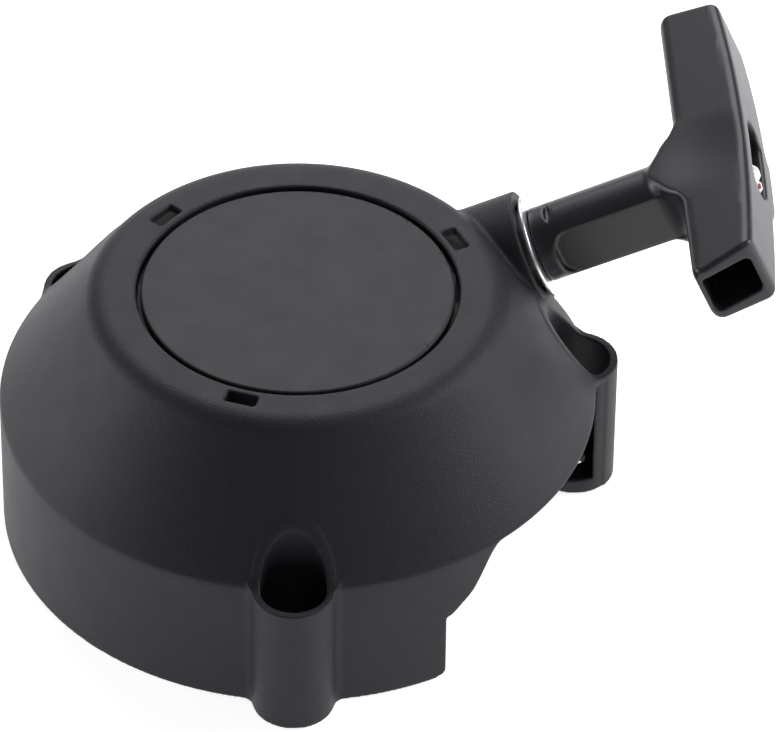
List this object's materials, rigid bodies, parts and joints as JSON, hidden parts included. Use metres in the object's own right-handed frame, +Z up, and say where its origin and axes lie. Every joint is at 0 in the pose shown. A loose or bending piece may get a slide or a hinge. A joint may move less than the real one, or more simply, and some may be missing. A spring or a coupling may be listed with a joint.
{
  "type": "recoil starter",
  "caption": "Small-engine recoil starter: domed round housing with screw bosses and snap-in top disc, rope outlet with metal eyelet, sprung rope rotor with two pawls, and a T-handle pull grip.",
  "frame": {"origin": "centre of the housing's mounting rim, on the rotor axis", "axes": "+Z up along the rotor axis, from the rim to the dome; +X along the horizontal part of the rope's pull direction"},
  "size_m": [0.1826, 0.161, 0.0875],
  "materials": {
    "housing_plastic": "charcoal moulded plastic with a fine spark-eroded grain",
    "disc_plastic": "charcoal plastic, smoother satin",
    "eyelet_steel": "polished",
    "brass": "turned",
    "spring_steel": "oiled blued strip",
    "zinc_steel": "zinc plated",
    "rotor_nylon": "natural off-white nylon",
    "rope": "braided polyester with a red tracer",
    "pawl_steel": "hardened and oiled",
    "grip_plastic": "satin black"
  },
  "bodies": {
    "housing": {"housing": "housing_plastic", "cover_disc": "disc_plastic", "rope_bush": "eyelet_steel", "post_insert": "brass", "recoil_spring": "spring_steel", "spring_cover": "zinc_steel", "spring_cover_screws": "zinc_steel", "rope_run": "rope", "brake_spring": "spring_steel", "thrust_washer": "brass", "retainer_washer": "zinc_steel", "center_screw": "zinc_steel"},
    "rotor": {"rope_rotor": "rotor_nylon", "rotor_bush": "brass", "rope_wound": "rope", "rotor_rope_knot": "rope", "pawl_pins": "zinc_steel"},
    "pawl_one": {"pawl_a": "pawl_steel"},
    "pawl_two": {"pawl_b": "pawl_steel"},
    "guide": {"pawl_guide": "zinc_steel"},
    "rope_line": {"rope_lead": "rope"},
    "handle": {"grip": "grip_plastic", "rope_end_knot": "rope"}
  },
  "joints": [
    {"name": "rope_pull", "type": "slide", "parent": "housing", "child": "rope_line", "axis": [0.9205, 0, 0.3907], "range_m": [0, 0.72], "stiffness_N_per_m": 20, "springref_m": -0.5},
    {"name": "grip_swivel", "type": "hinge", "parent": "rope_line", "child": "handle", "pos_m": [0.05845, 0.0269, 0.0545], "axis": [0.9205, 0, 0.3907], "continuous": true},
    {"name": "rotor_spin", "type": "hinge", "parent": "housing", "child": "rotor", "pos_m": [0, 0, 0.04], "axis": [0, 0, -1], "range_deg": [0, 2070]},
    {"name": "guide_turn", "type": "hinge", "parent": "rotor", "child": "guide", "pos_m": [0, 0, 0.0244], "axis": [0, 0, 1], "range_deg": [0, 25]},
    {"name": "pawl_a_swing", "type": "hinge", "parent": "rotor", "child": "pawl_one", "pos_m": [0.02, 0, 0.028], "axis": [0, 0, 1], "range_deg": [0, 30.1]},
    {"name": "pawl_b_swing", "type": "hinge", "parent": "rotor", "child": "pawl_two", "pos_m": [-0.02, 0, 0.028], "axis": [0, 0, 1], "range_deg": [0, 30.1]}
  ],
  "couplings": [
    {"joint": "rotor_spin", "follows": "rope_pull", "rad_per_m": 50},
    {"joint": "pawl_a_swing", "follows": "guide_turn", "ratio": 1.2},
    {"joint": "pawl_b_swing", "follows": "guide_turn", "ratio": 1.2}
  ]
}
